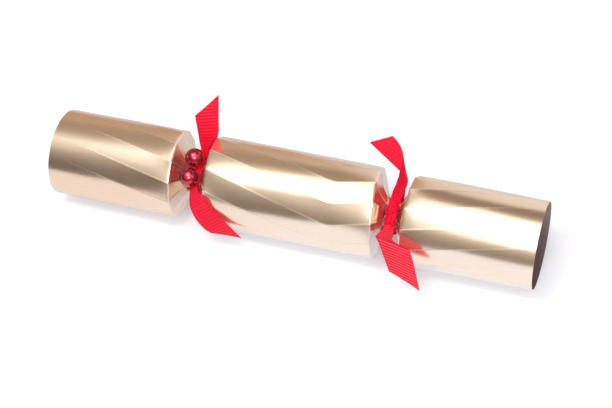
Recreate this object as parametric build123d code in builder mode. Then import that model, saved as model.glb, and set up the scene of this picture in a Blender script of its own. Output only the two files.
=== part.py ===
import os
from math import acos, asin, atan2, cos, degrees, pi, radians, sin, tan

from build123d import *

# The cracker lies along X on its lap seam, with the middle of the barrel over the origin.
overall_length = 305.0
strip_count = 13
card = 0.45

barrel_radius = 28.0
end_step = 0.5
mouth_taper = 0.8

neck_x = 62.5
crease_gap = 20.0
waist_radius = 9.0
waist_width = 7.0
tear_gap = 0.2
fade_length = 18.0
slot_width = 0.7
slot_margin = 0.5
lap_width = 12.0
lap_inset = 2.5
lap_mouth_inset = 1.0

ribbon_width = 15.0
ribbon_thickness = 0.6
loop_gap = 0.2
loop_thickness = 1.2
loop_margin = 0.5
left_knot_height = 3.4
right_knot_height = 6.0
knot_sink = 0.3

berry_radius = 5.75
berry_gap = 1.5
berry_lift = 1.2
berry_angle = 65.5
wire_radius = 0.4
wire_hole = 0.5
stem_gap = 0.3
stem_bend = 1.5

snap_width = 10.0
snap_card = 0.6
snap_gap = 1.0
snap_overlap = 24.0
snap_inset = 4.5
snap_glued = 30.0
ramp_margin = 7.5
patch_thickness = 0.35
patch_length = 9.0
patch_width = 7.0
patch_inset = 1.0
sleeve_length = 20.0
sleeve_clearance = 0.3
sleeve_paper = 0.25
glue_thickness = 0.25
glue_length = 12.0
glue_width = 7.0
glue_inset = 6.0

seat_gap = 0.3
hat_radius = 6.5
hat_layer = 1.0
hat_pitch = 1.5
hat_half_turns = 5
hat_length = 54.0
band_gap = 0.1
band_thickness = 0.5
band_width = 4.0
motto_paper = 0.2
motto_length = 56.0
motto_angle = -70.0
motto_sweep = 44.0
top_radius = 8.0
top_disc = 4.0
top_handle = 9.0
top_handle_radius = 1.7
top_point = 7.0

half_step = pi / strip_count
axis_height = barrel_radius * cos(half_step)
end_radius = barrel_radius - end_step
mouth_radius = end_radius - mouth_taper
barrel_crease = neck_x - crease_gap / 2
end_crease = neck_x + crease_gap / 2
mouth_x = overall_length / 2
loop_top = waist_radius + loop_gap + loop_thickness
axis = Axis((0, 0, axis_height), (-1, 0, 0))


def cross_plane(x):
    return Plane(origin=(x, 0, axis_height), x_dir=(0, 1, 0), z_dir=(1, 0, 0))


def radial_plane(x, angle):
    turn = radians(angle)
    return Plane(origin=(x, 0, axis_height), x_dir=(1, 0, 0), z_dir=(0, -sin(turn), -cos(turn)))


# A point beside a neck: along the axis from its waist, out from the axis, and round from the front.
def neck_point(x, along, out, angle):
    turn = radians(angle)
    return Vector(x + along, -out * cos(turn), axis_height + out * sin(turn))


def groove_half(out):
    slope = (crease_gap - waist_width) / (barrel_radius - waist_radius)
    return (waist_width + slope * (out - waist_radius)) / 2


# A point between the strips of a neck: a share of the way to one side, and from the loop up to the rim.
def in_groove(x, side, share, angle):
    out = loop_top + share * (barrel_radius - loop_top)
    return neck_point(x, side * groove_half(out), out, angle)


# A point outside a neck: along from the waist and up from the barrel's rim, both in ribbon widths.
def over_rim(x, along, height, angle):
    return neck_point(x, along * ribbon_width, barrel_radius + height * ribbon_width, angle)


# The wrapper's outline: flat between the creases at a neck, round away from it, flat under the lap seam.
def card_outline(x, corner_radius, round_sides):
    with BuildSketch(cross_plane(x)) as outline:
        with BuildLine():
            for side in range(strip_count):
                turn = -pi / 2 + half_step + 2 * half_step * side
                start = (corner_radius * cos(turn), corner_radius * sin(turn))
                middle = (corner_radius * cos(turn + half_step), corner_radius * sin(turn + half_step))
                end = (corner_radius * cos(turn + 2 * half_step), corner_radius * sin(turn + 2 * half_step))
                if round_sides and side < strip_count - 1:
                    ThreePointArc(start, middle, end)
                else:
                    Line(start, end)
        make_face()
    return outline.sketch


def inside_radius(corner_radius, round_sides):
    if round_sides:
        return corner_radius - card
    return corner_radius - card / cos(half_step)


# The slits that part the strips of one neck, cut from just inside the crease to the tear line.
def slit_fan(x):
    slit_from = waist_radius / 2
    slit_to = barrel_radius + waist_radius / 2
    with BuildSketch(cross_plane(x)) as fan:
        with PolarLocations((slit_from + slit_to) / 2, strip_count, start_angle=-90 + 180 / strip_count):
            Rectangle(slit_to - slit_from, slot_width)
    return fan.sketch


def end_radius_at(x):
    return end_radius + (mouth_radius - end_radius) * (abs(x) - end_crease) / (mouth_x - end_crease)


def lap_top_at(x):
    return axis_height - end_radius_at(x) * cos(half_step) + 2 * card


barrel_fold = atan2(barrel_radius - waist_radius, (crease_gap - waist_width) / 2)
barrel_mitre = card * tan(barrel_fold / 2)
end_fold = atan2(end_radius - waist_radius, (crease_gap - waist_width) / 2)
end_mitre = card * tan(end_fold / 2)
barrel_tear = neck_x - tear_gap / 2
end_tear = neck_x + tear_gap / 2
barrel_waist = neck_x - waist_width / 2
end_waist = neck_x + waist_width / 2
barrel_round = barrel_crease - fade_length
end_round = end_crease + fade_length
waist_inside = inside_radius(waist_radius, False)
barrel_inside = inside_radius(barrel_radius, False)
end_inside = inside_radius(end_radius, False)

# Middle of the wrapper, with a fan of thirteen folded strips at each end.
with BuildPart() as barrel_card:
    outside = [
        card_outline(-barrel_tear, waist_radius, False),
        card_outline(-barrel_waist, waist_radius, False),
        card_outline(-barrel_crease, barrel_radius, False),
        card_outline(-barrel_round, barrel_radius, True),
        card_outline(barrel_round, barrel_radius, True),
        card_outline(barrel_crease, barrel_radius, False),
        card_outline(barrel_waist, waist_radius, False),
        card_outline(barrel_tear, waist_radius, False),
    ]
    loft(outside, ruled=True)
    inside = [
        card_outline(-barrel_tear - 1, waist_inside, False),
        card_outline(-barrel_waist + barrel_mitre, waist_inside, False),
        card_outline(-barrel_crease + barrel_mitre, barrel_inside, False),
        card_outline(-barrel_round, inside_radius(barrel_radius, True), True),
        card_outline(barrel_round, inside_radius(barrel_radius, True), True),
        card_outline(barrel_crease - barrel_mitre, barrel_inside, False),
        card_outline(barrel_waist - barrel_mitre, waist_inside, False),
        card_outline(barrel_tear + 1, waist_inside, False),
    ]
    loft(inside, ruled=True, mode=Mode.SUBTRACT)
    with Locations((0, 0, 1.4 * card)):
        Box(2 * (barrel_crease - lap_inset), lap_width, 1.2 * card)
    slit_length = barrel_tear - barrel_crease - slot_margin + 1
    extrude(slit_fan(barrel_crease + slot_margin), amount=slit_length, mode=Mode.SUBTRACT)
    extrude(slit_fan(-barrel_crease - slot_margin), amount=-slit_length, mode=Mode.SUBTRACT)


# The lap of an end tube, under the strip that is glued on it.
def end_lap(x):
    with BuildSketch(Plane(origin=(x, 0, lap_top_at(x)), x_dir=(0, 1, 0), z_dir=(1, 0, 0))) as lap:
        Rectangle(lap_width, 1.2 * card, align=(Align.CENTER, Align.MAX))
    return lap.sketch


def end_outside(hand):
    return [
        card_outline(hand * end_tear, waist_radius, False),
        card_outline(hand * end_waist, waist_radius, False),
        card_outline(hand * end_crease, end_radius, False),
        card_outline(hand * end_round, end_radius_at(end_round), True),
        card_outline(hand * mouth_x, mouth_radius, True),
    ]


def end_hollow(hand):
    return [
        card_outline(hand * (end_tear - 1), waist_inside, False),
        card_outline(hand * (end_waist + end_mitre), waist_inside, False),
        card_outline(hand * (end_crease + end_mitre), end_inside, False),
        card_outline(hand * end_round, inside_radius(end_radius_at(end_round), True), True),
        card_outline(hand * (mouth_x + 1), inside_radius(mouth_radius, True), True),
    ]


end_slit = end_crease - slot_margin - end_tear + 1

with BuildPart() as left_end_card:
    loft(end_outside(-1), ruled=True)
    loft(end_hollow(-1), ruled=True, mode=Mode.SUBTRACT)
    loft([end_lap(-end_crease - lap_inset), end_lap(-mouth_x + lap_mouth_inset)], ruled=True)
    extrude(slit_fan(-end_crease + slot_margin), amount=end_slit, mode=Mode.SUBTRACT)

with BuildPart() as right_end_card:
    loft(end_outside(1), ruled=True)
    loft(end_hollow(1), ruled=True, mode=Mode.SUBTRACT)
    loft([end_lap(end_crease + lap_inset), end_lap(mouth_x - lap_mouth_inset)], ruled=True)
    extrude(slit_fan(end_crease - slot_margin), amount=-end_slit, mode=Mode.SUBTRACT)


# Cross sections of a ribbon tail, one between each pair of points on its two edges.
def tail_sections(edge_a, edge_b):
    centres = [(a + b) * 0.5 for a, b in zip(edge_a, edge_b)]
    sections = []
    for index, centre in enumerate(centres):
        before = centres[max(index - 1, 0)]
        after = centres[min(index + 1, len(centres) - 1)]
        across = edge_b[index] - edge_a[index]
        heading = after - before
        side = across.normalized()
        heading = heading - side * heading.dot(side)
        with BuildSketch(Plane(origin=centre, x_dir=across, z_dir=heading)) as section:
            Rectangle(across.length, ribbon_thickness)
        sections.append(section.sketch)
    return sections


def loop_ring(x):
    with BuildSketch(radial_plane(x, 0)) as ring:
        with Locations((0, waist_radius + loop_gap + loop_thickness / 2)):
            Rectangle(waist_width - 2 * loop_margin, loop_thickness)
    return ring.sketch


# Left ribbon: loop round the waist, low knot under the berries, one tail up and one over the barrel.
left_up_a = [
    in_groove(-neck_x, -0.5, 0.09, 118),
    in_groove(-neck_x, -0.5, 0.66, 116),
    over_rim(-neck_x, -0.27, 0.33, 110),
    over_rim(-neck_x, -0.23, 0.90, 111),
]
left_up_b = [
    in_groove(-neck_x, 0.5, 0.09, 122),
    in_groove(-neck_x, 0.8, 0.66, 124),
    over_rim(-neck_x, 0.63, 0.53, 118),
    over_rim(-neck_x, 0.60, 1.80, 116),
]
left_low_a = [
    in_groove(-neck_x, -0.45, 0.09, 24),
    in_groove(-neck_x, 0.05, 0.6, 14),
    over_rim(-neck_x, 0.30, 0.07, 8),
    over_rim(-neck_x, 0.60, 0.27, -1),
    over_rim(-neck_x, 1.25, 0.40, -18),
]
left_low_b = [
    in_groove(-neck_x, 0.45, 0.09, 34),
    in_groove(-neck_x, 0.7, 0.6, 32),
    over_rim(-neck_x, 0.77, 0.13, 27),
    over_rim(-neck_x, 1.47, 0.20, 14),
    over_rim(-neck_x, 2.53, 0.40, -16),
]
left_knot_out = loop_top - knot_sink + left_knot_height / 2

with BuildPart() as left_ribbon:
    revolve(loop_ring(-neck_x), axis=axis)
    with BuildSketch(radial_plane(-neck_x, 18)) as left_knot:
        with Locations((0, left_knot_out)):
            Ellipse(0.75 * groove_half(left_knot_out), left_knot_height / 2)
    revolve(left_knot.sketch, axis=axis, revolution_arc=110)
    loft(tail_sections(left_up_a, left_up_b))
    loft(tail_sections(left_low_a, left_low_b))

# Right ribbon: loop, standing knot at the front, one tail curling up and one folded down over the end tube.
right_up_a = [
    in_groove(neck_x, 0.05, 0.18, 84),
    in_groove(neck_x, 0.13, 0.66, 92),
    over_rim(neck_x, 0.15, 0.20, 94),
    over_rim(neck_x, 0.03, 0.63, 96),
    over_rim(neck_x, -1.12, 1.40, 104),
]
right_up_b = [
    in_groove(neck_x, 0.63, 0.18, 88),
    in_groove(neck_x, 0.73, 0.66, 98),
    over_rim(neck_x, 0.51, 0.27, 101),
    over_rim(neck_x, 0.40, 1.00, 104),
    over_rim(neck_x, -0.27, 1.80, 107),
]
right_low_a = [
    in_groove(neck_x, -0.2, 0.18, 30),
    in_groove(neck_x, -0.3, 0.72, 27),
    over_rim(neck_x, -0.21, 0.13, 22),
    over_rim(neck_x, 0.07, 0.30, 12),
    over_rim(neck_x, 0.30, 0.43, 0),
    over_rim(neck_x, 0.49, 0.57, -11),
]
right_low_b = [
    in_groove(neck_x, 0.7, 0.18, 24),
    in_groove(neck_x, 0.8, 0.77, 22),
    over_rim(neck_x, 0.97, 0.13, 17),
    over_rim(neck_x, 1.27, 0.33, 9),
    over_rim(neck_x, 1.52, 0.60, -3.5),
    over_rim(neck_x, 1.78, 1.00, -18),
]
right_knot_out = loop_top - knot_sink + right_knot_height / 2
right_knot_half = groove_half(right_knot_out)

with BuildPart() as right_ribbon:
    revolve(loop_ring(neck_x), axis=axis)
    with BuildSketch(radial_plane(neck_x, 18)) as right_knot:
        with Locations((0.24 * right_knot_half, right_knot_out)):
            Ellipse(0.66 * right_knot_half, right_knot_height / 2)
    revolve(right_knot.sketch, axis=axis, revolution_arc=74)
    loft(tail_sections(right_up_a, right_up_b))
    loft(tail_sections(right_low_a, right_low_b))

left_knot_top = loop_top - knot_sink + left_knot_height
berry_reach = left_knot_top + berry_lift + berry_radius
berry_half_spread = degrees(asin((berry_radius + berry_gap / 2) / berry_reach))
stem_foot = neck_point(-neck_x, 0, left_knot_top + stem_gap, berry_angle)
upper_centre = neck_point(-neck_x, 0, berry_reach, berry_angle + berry_half_spread)
lower_centre = neck_point(-neck_x, 0, berry_reach, berry_angle - berry_half_spread)

# Berries, each drilled for one end of the wire.
with BuildPart() as berry_upper:
    with Locations(upper_centre):
        Sphere(berry_radius)
    with BuildSketch(Plane(origin=upper_centre, z_dir=stem_foot - upper_centre)):
        Circle(wire_hole)
    extrude(amount=berry_radius + 1, mode=Mode.SUBTRACT)

with BuildPart() as berry_lower:
    with Locations(lower_centre):
        Sphere(berry_radius)
    with BuildSketch(Plane(origin=lower_centre, z_dir=stem_foot - lower_centre)):
        Circle(wire_hole)
    extrude(amount=berry_radius + 1, mode=Mode.SUBTRACT)

# Wire stem: bent over the knot, with one end in each berry.
with BuildPart() as berry_wire:
    with BuildLine() as stem:
        FilletPolyline(
            upper_centre + (stem_foot - upper_centre) * 0.2,
            stem_foot,
            lower_centre + (stem_foot - lower_centre) * 0.2,
            radius=stem_bend,
        )
    with BuildSketch(Plane(origin=stem.line @ 0, z_dir=stem.line % 0)):
        Circle(wire_radius)
    sweep(path=stem.line)


snap_reach = mouth_x - snap_inset


# Side view of one snap strip: glued flat in the end tube, up to the axis, then straight to the overlap.
def snap_profile(hand, level):
    glued_end = snap_reach - snap_glued
    ramp_end = end_crease + ramp_margin
    under = [
        (hand * snap_reach, lap_top_at(snap_reach) + glue_thickness),
        (hand * glued_end, lap_top_at(glued_end) + glue_thickness),
        (hand * ramp_end, level),
        (-hand * snap_overlap / 2, level),
    ]
    over = [(x, z + snap_card) for x, z in reversed(under)]
    with BuildSketch(Plane.XZ) as profile:
        with BuildLine():
            Polyline(*under, *over, close=True)
        make_face()
    return profile.sketch


upper_level = axis_height + snap_gap / 2
lower_level = axis_height - snap_gap / 2 - snap_card

with BuildPart() as left_snap_strip:
    extrude(snap_profile(-1, upper_level), amount=snap_width / 2, both=True)

with BuildPart() as right_snap_strip:
    extrude(snap_profile(1, lower_level), amount=snap_width / 2, both=True)

with BuildPart() as snap_charge:
    with Locations((patch_inset + patch_length / 2, 0, axis_height + snap_gap / 2 - patch_thickness / 2)):
        Box(patch_length, patch_width, patch_thickness)

with BuildPart() as snap_abrasive:
    with Locations((-patch_inset - patch_length / 2, 0, axis_height - snap_gap / 2 + patch_thickness / 2)):
        Box(patch_length, patch_width, patch_thickness)

sleeve_inside_y = snap_width + 2 * sleeve_clearance
sleeve_inside_z = snap_gap + 2 * snap_card + 2 * sleeve_clearance

with BuildPart() as snap_sleeve:
    with BuildSketch(cross_plane(-sleeve_length / 2)):
        Rectangle(sleeve_inside_y + 2 * sleeve_paper, sleeve_inside_z + 2 * sleeve_paper)
        Rectangle(sleeve_inside_y, sleeve_inside_z, mode=Mode.SUBTRACT)
    extrude(amount=sleeve_length)


# A glue spot between the lap and the end of a snap strip.
def glue_profile(hand):
    far = snap_reach - glue_inset
    near = far - glue_length
    with BuildSketch(Plane.XZ) as profile:
        with BuildLine():
            Polyline(
                (hand * near, lap_top_at(near)),
                (hand * far, lap_top_at(far)),
                (hand * far, lap_top_at(far) + glue_thickness),
                (hand * near, lap_top_at(near) + glue_thickness),
                close=True,
            )
        make_face()
    return profile.sketch


with BuildPart() as left_snap_glue:
    extrude(glue_profile(-1), amount=glue_width / 2, both=True)

with BuildPart() as right_snap_glue:
    extrude(glue_profile(1), amount=glue_width / 2, both=True)

floor_z = 2 * card
hat_outer = hat_radius + band_gap + band_thickness
hat_z = floor_z + seat_gap + hat_outer


# One face of the rolled tissue, as half turns that step in by half a pitch each.
def roll_line(outer_radius):
    points = [(0, -outer_radius)]
    arcs = []
    for turn in range(hat_half_turns):
        way = -1 if turn % 2 else 1
        radius = outer_radius - hat_pitch / 2 * (turn + 0.5)
        start = points[-1]
        middle = (way * radius, start[1] + way * radius)
        end = (0, start[1] + way * 2 * radius)
        arcs.append((start, middle, end))
        points.append(end)
    return arcs


hat_outside = roll_line(hat_radius)
hat_inside = roll_line(hat_radius - hat_layer)

# Tissue crown, folded to a strip and rolled up, with its small band.
with BuildPart() as paper_hat:
    with BuildSketch(Plane(origin=(-hat_length / 2, 0, hat_z), x_dir=(0, 1, 0), z_dir=(1, 0, 0))):
        with BuildLine():
            for arc in hat_outside:
                ThreePointArc(*arc)
            for arc in hat_inside:
                ThreePointArc(*arc)
            Line(hat_outside[0][0], hat_inside[0][0])
            Line(hat_outside[-1][2], hat_inside[-1][2])
        make_face()
    extrude(amount=hat_length)

with BuildPart() as hat_band:
    with BuildSketch(Plane(origin=(-band_width / 2, 0, hat_z), x_dir=(0, 1, 0), z_dir=(1, 0, 0))):
        Circle(hat_outer)
        Circle(hat_outer - band_thickness, mode=Mode.SUBTRACT)
    extrude(amount=band_width)

# Motto slip, curled against the barrel's wall beside the lap.
with BuildPart() as motto_slip:
    with BuildSketch(radial_plane(0, motto_angle)) as slip:
        with Locations((0, barrel_radius - card - seat_gap - motto_paper / 2)):
            Rectangle(motto_length, motto_paper)
    revolve(slip.sketch, axis=axis, revolution_arc=motto_sweep)

# The top lies between the rolled hat and the back of the barrel, clear of both.
hat_reach = axis_height - hat_z
top_reach = barrel_radius - card - seat_gap - top_radius
top_apart = hat_outer + seat_gap + top_radius
top_swing = degrees(acos((hat_reach**2 + top_reach**2 - top_apart**2) / (2 * hat_reach * top_reach)))
top_middle = neck_point(0, 0, top_reach, -90 - top_swing)
top_start = -top_disc / 2 - top_handle

# Spinning top on its side: handle, disc and point.
with BuildPart() as spinning_top:
    with BuildSketch(Plane(origin=top_middle, x_dir=(1, 0, 0), z_dir=(0, -1, 0))) as top_half:
        with BuildLine():
            Polyline(
                (top_start, 0),
                (top_start, top_handle_radius),
                (-top_disc / 2, top_handle_radius),
                (-top_disc / 2, top_radius),
                (top_disc / 2, top_radius),
                (top_disc / 2 + top_point, 0),
                close=True,
            )
        make_face()
    revolve(top_half.sketch, axis=Axis(top_middle, (1, 0, 0)))

os.makedirs("parts", exist_ok=True)

barrel_card.part.label = "barrel_card"
export_step(barrel_card.part, "parts/barrel_card.step")
left_end_card.part.label = "left_end_card"
export_step(left_end_card.part, "parts/left_end_card.step")
right_end_card.part.label = "right_end_card"
export_step(right_end_card.part, "parts/right_end_card.step")
left_ribbon.part.label = "left_ribbon"
export_step(left_ribbon.part, "parts/left_ribbon.step")
right_ribbon.part.label = "right_ribbon"
export_step(right_ribbon.part, "parts/right_ribbon.step")
berry_upper.part.label = "berry_upper"
export_step(berry_upper.part, "parts/berry_upper.step")
berry_lower.part.label = "berry_lower"
export_step(berry_lower.part, "parts/berry_lower.step")
berry_wire.part.label = "berry_wire"
export_step(berry_wire.part, "parts/berry_wire.step")
left_snap_strip.part.label = "left_snap_strip"
export_step(left_snap_strip.part, "parts/left_snap_strip.step")
right_snap_strip.part.label = "right_snap_strip"
export_step(right_snap_strip.part, "parts/right_snap_strip.step")
snap_charge.part.label = "snap_charge"
export_step(snap_charge.part, "parts/snap_charge.step")
snap_abrasive.part.label = "snap_abrasive"
export_step(snap_abrasive.part, "parts/snap_abrasive.step")
snap_sleeve.part.label = "snap_sleeve"
export_step(snap_sleeve.part, "parts/snap_sleeve.step")
left_snap_glue.part.label = "left_snap_glue"
export_step(left_snap_glue.part, "parts/left_snap_glue.step")
right_snap_glue.part.label = "right_snap_glue"
export_step(right_snap_glue.part, "parts/right_snap_glue.step")
paper_hat.part.label = "paper_hat"
export_step(paper_hat.part, "parts/paper_hat.step")
hat_band.part.label = "hat_band"
export_step(hat_band.part, "parts/hat_band.step")
motto_slip.part.label = "motto_slip"
export_step(motto_slip.part, "parts/motto_slip.step")
spinning_top.part.label = "spinning_top"
export_step(spinning_top.part, "parts/spinning_top.step")
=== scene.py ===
import math

import bpy
import numpy as np
from mathutils import Matrix


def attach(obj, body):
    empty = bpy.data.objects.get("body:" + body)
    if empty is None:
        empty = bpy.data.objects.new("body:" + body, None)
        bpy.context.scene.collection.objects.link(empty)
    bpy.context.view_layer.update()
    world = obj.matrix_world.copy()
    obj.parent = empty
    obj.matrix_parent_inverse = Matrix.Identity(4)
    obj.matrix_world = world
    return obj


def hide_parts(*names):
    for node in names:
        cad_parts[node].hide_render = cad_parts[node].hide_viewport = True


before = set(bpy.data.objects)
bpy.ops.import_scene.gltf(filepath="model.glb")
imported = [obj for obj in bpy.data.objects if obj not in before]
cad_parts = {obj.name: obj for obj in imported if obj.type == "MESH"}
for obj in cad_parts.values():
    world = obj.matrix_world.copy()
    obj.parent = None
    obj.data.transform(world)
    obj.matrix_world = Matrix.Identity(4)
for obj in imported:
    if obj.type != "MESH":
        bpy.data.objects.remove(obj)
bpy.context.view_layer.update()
mm = 0.001
stripCount = 13  # strips round a neck, and facets round the card
facetTurn = 360 / stripCount
barrelRadius = 28.0
axisHeight = barrelRadius * math.cos(math.pi / stripCount)  # the cracker's axis over the table, in mm


# node helpers: an input takes a value or another node's output
def addLink(tree, value, socket):
    if isinstance(value, bpy.types.NodeSocket):
        tree.links.new(value, socket)
    else:
        socket.default_value = value


def addNode(tree, kind, settings=None, sockets=None):
    node = tree.nodes.new(kind)
    for key, value in (settings or {}).items():
        setattr(node, key, value)
    for key, value in (sockets or {}).items():
        addLink(tree, value, node.inputs[key])
    return node


def mathNode(tree, operation, a, b=0.0, clamp=False):
    return addNode(tree, "ShaderNodeMath", {"operation": operation, "use_clamp": clamp}, {0: a, 1: b}).outputs[0]


def product(tree, first, *others):
    for other in others:
        first = mathNode(tree, "MULTIPLY", first, other)
    return first


def vectorNode(tree, operation, a, b=None, scale=None):
    node = addNode(tree, "ShaderNodeVectorMath", {"operation": operation}, {0: a})
    if b is not None:
        addLink(tree, b, node.inputs[1])
    if scale is not None:
        addLink(tree, scale, node.inputs["Scale"])
    return node.outputs[0]


def splitVector(tree, vector):
    return addNode(tree, "ShaderNodeSeparateXYZ", None, {0: vector}).outputs


def joinVector(tree, parts):
    return addNode(tree, "ShaderNodeCombineXYZ", None, parts).outputs[0]


def mapRange(tree, value, start, stop, low=0.0, high=1.0, smooth=False):
    return addNode(tree, "ShaderNodeMapRange", {"interpolation_type": "SMOOTHSTEP" if smooth else "LINEAR"}, {
        "Value": value, 1: start, 2: stop, 3: low, 4: high}).outputs[0]


def mixColour(tree, factor, first, second):
    first, second = ((*c, 1) if isinstance(c, tuple) else c for c in (first, second))
    return addNode(tree, "ShaderNodeMix", {"data_type": "RGBA"}, {0: factor, 6: first, 7: second}).outputs[2]


def rampNode(tree, factor, stops):
    node = addNode(tree, "ShaderNodeValToRGB", None, {"Fac": factor})
    ramp = node.color_ramp
    while len(ramp.elements) < len(stops):
        ramp.elements.new(0.5)
    for element, (place, colour) in zip(ramp.elements, stops):
        element.position = place
        element.color = (*colour, 1)
    return node.outputs[0]


def attribute(tree, name):
    return addNode(tree, "ShaderNodeAttribute", {"attribute_name": name}).outputs["Fac"]


def startMaterial(name):
    mat = bpy.data.materials.new(name)
    mat.use_nodes = True
    return mat, mat.node_tree, mat.node_tree.nodes["Principled BSDF"]


def setFinish(shader, **values):
    names = {"metallic": "Metallic", "roughness": "Roughness", "specular": "Specular IOR Level",
             "coat": "Coat Weight", "coatRoughness": "Coat Roughness", "coatIor": "Coat IOR",
             "sheen": "Sheen Weight", "sheenRoughness": "Sheen Roughness", "sheenTint": "Sheen Tint",
             "subsurface": "Subsurface Weight", "subsurfaceRadius": "Subsurface Radius",
             "subsurfaceScale": "Subsurface Scale"}
    for key, value in values.items():
        shader.inputs[names[key]].default_value = value


def objectPoint(tree, stretch=(1, 1, 1)):
    coords = addNode(tree, "ShaderNodeTexCoord")
    return addNode(tree, "ShaderNodeMapping", None,
                   {"Vector": coords.outputs["Object"], "Scale": stretch}).outputs[0]


def noiseNode(tree, vector, scale, detail=2.0):
    return addNode(tree, "ShaderNodeTexNoise", None,
                   {"Vector": vector, "Scale": scale, "Detail": detail}).outputs["Fac"]


def bumpNode(tree, height, distance):
    return addNode(tree, "ShaderNodeBump", None, {
        "Height": height, "Distance": distance, "Strength": 1.0}).outputs[0]


# materials
foilLook = {"colour": (0.935, 0.775, 0.62), "warm": (0.915, 0.74, 0.575), "cloud": 45, "roughness": (0.18, 0.28),
            "streaks": (25, 1500, 1500), "streakDepth": 0.000004, "haze": 0.1, "scoredRoughness": 0.6}


def foilMaterial():
    mat, tree, shader = startMaterial("goldFoil")
    streak = noiseNode(tree, objectPoint(tree, foilLook["streaks"]), 1.0, 3)
    cloud = noiseNode(tree, objectPoint(tree), foilLook["cloud"])
    tint = mixColour(tree, cloud, foilLook["colour"], foilLook["warm"])
    rough = mapRange(tree, streak, 0.0, 1.0, *foilLook["roughness"])
    # the foil is worn dull along the ridges where the card was scored
    rough = addNode(tree, "ShaderNodeMix", {"data_type": "FLOAT"}, {
        0: attribute(tree, "scored"), 2: rough, 3: foilLook["scoredRoughness"]}).outputs[0]
    tree.links.new(tint, shader.inputs["Base Color"])
    tree.links.new(rough, shader.inputs["Roughness"])
    tree.links.new(bumpNode(tree, streak, foilLook["streakDepth"]), shader.inputs["Normal"])
    setFinish(shader, metallic=1 - foilLook["haze"])
    return mat


paperLook = {"fleck": 0.6, "cloud": 0.4, "cloudScale": 0.06, "tones": (0.35, 0.65)}


def paperMaterial(name, pale, dark, grain=900, roughness=0.75, depth=0.00003):
    mat, tree, shader = startMaterial(name)
    point = objectPoint(tree)
    fleck = noiseNode(tree, point, grain, 4)
    cloud = noiseNode(tree, point, grain * paperLook["cloudScale"])
    mixed = mathNode(tree, "ADD", product(tree, fleck, paperLook["fleck"]), product(tree, cloud, paperLook["cloud"]))
    tones = list(zip(paperLook["tones"], (dark, pale)))
    tree.links.new(rampNode(tree, mixed, tones), shader.inputs["Base Color"])
    tree.links.new(bumpNode(tree, fleck, depth), shader.inputs["Normal"])
    setFinish(shader, roughness=roughness, specular=0.3)
    return mat


liningLookWithPaintedShade = {"height": 0.054, "grain": 700, "unevenness": 0.25, "depth": 0.00003, "tones": [
    (0.06, (0.16, 0.115, 0.108)), (0.22, (0.20, 0.155, 0.15)), (0.46, (0.38, 0.315, 0.31)), (0.8, (0.47, 0.41, 0.42))]}


def liningMaterial():
    # grey board, darker towards the bottom and paler towards the top: painted shade and painted light inside the tube
    mat, tree, shader = startMaterial("insideCard")
    point = objectPoint(tree)
    fleck = noiseNode(tree, point, liningLookWithPaintedShade["grain"], 4)
    # the tone follows the height: painted shade low in the tube, painted light towards its top
    tone = mathNode(tree, "ADD", mapRange(tree, splitVector(tree, point)[2], 0.0, liningLookWithPaintedShade["height"]),
                    product(tree, mathNode(tree, "SUBTRACT", fleck, 0.5), liningLookWithPaintedShade["unevenness"]))
    tree.links.new(rampNode(tree, tone, liningLookWithPaintedShade["tones"]), shader.inputs["Base Color"])
    tree.links.new(bumpNode(tree, fleck, liningLookWithPaintedShade["depth"]), shader.inputs["Normal"])
    setFinish(shader, roughness=0.5, specular=0.3)
    return mat


# valleyShade and crown are painted shade and painted highlight across the ribs; colour is the ribbon's own red
ribbonLook = {"valleyShade": (0.76, 0.004, 0.035), "colour": (0.95, 0.005, 0.045), "crown": (1.0, 0.12, 0.17),
              "tones": (0.1, 0.55, 1.0), "threadPitch": 0.45, "threadDepth": 0.00005, "ribPitch": 2.1, "selvedge": 0.7}


def ribbonMaterial():
    mat, tree, shader = startMaterial("redGrosgrain")
    # the map is in millimetres: across the ribbon, then along it
    flatMap = splitVector(tree, addNode(tree, "ShaderNodeUVMap", {"uv_map": "UVMap"}).outputs[0])
    thread = mathNode(tree, "SINE", product(tree, flatMap[0], 2 * math.pi / ribbonLook["threadPitch"]))
    rib = mathNode(tree, "SINE", product(tree, flatMap[1], math.pi / ribbonLook["ribPitch"]))
    rib = mathNode(tree, "ABSOLUTE", rib)
    weave = product(tree, mathNode(tree, "ADD", product(tree, thread, 0.5), 0.5), rib)
    # painted shade in the rib valleys and painted highlight on the rib crowns
    ribs = rampNode(tree, rib, list(zip(ribbonLook["tones"], (
        ribbonLook["valleyShade"], ribbonLook["colour"], ribbonLook["crown"]))))
    tree.links.new(mixColour(tree, attribute(tree, "ribbed"), ribbonLook["colour"], ribs), shader.inputs["Base Color"])
    tree.links.new(bumpNode(tree, weave, ribbonLook["threadDepth"]), shader.inputs["Normal"])
    setFinish(shader, roughness=0.5, specular=0.12, sheen=0.04, sheenRoughness=0.4, sheenTint=(1.0, 0.45, 0.5, 1),
              subsurface=0.7, subsurfaceRadius=(1.0, 0.3, 0.3), subsurfaceScale=0.0012)
    return mat


def lacquerMaterial(name, colour, deep, roughness):
    mat, tree, shader = startMaterial(name)
    cloud = noiseNode(tree, objectPoint(tree), 160, 3)
    tree.links.new(rampNode(tree, cloud, [(0.3, deep), (0.7, colour)]), shader.inputs["Base Color"])
    setFinish(shader, roughness=roughness, coat=1.0, coatRoughness=0.04, specular=0.6)
    return mat


# the tones run from the berry's red at the centre to near black at the rim: painted rim shade
berryLook = {"cloud": 300, "unevenness": 0.08, "tones": [
    (0.05, (0.85, 0.025, 0.08)), (0.35, (0.54, 0.004, 0.028)), (0.62, (0.20, 0.001, 0.01)),
    (0.9, (0.06, 0.0005, 0.004))]}


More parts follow.
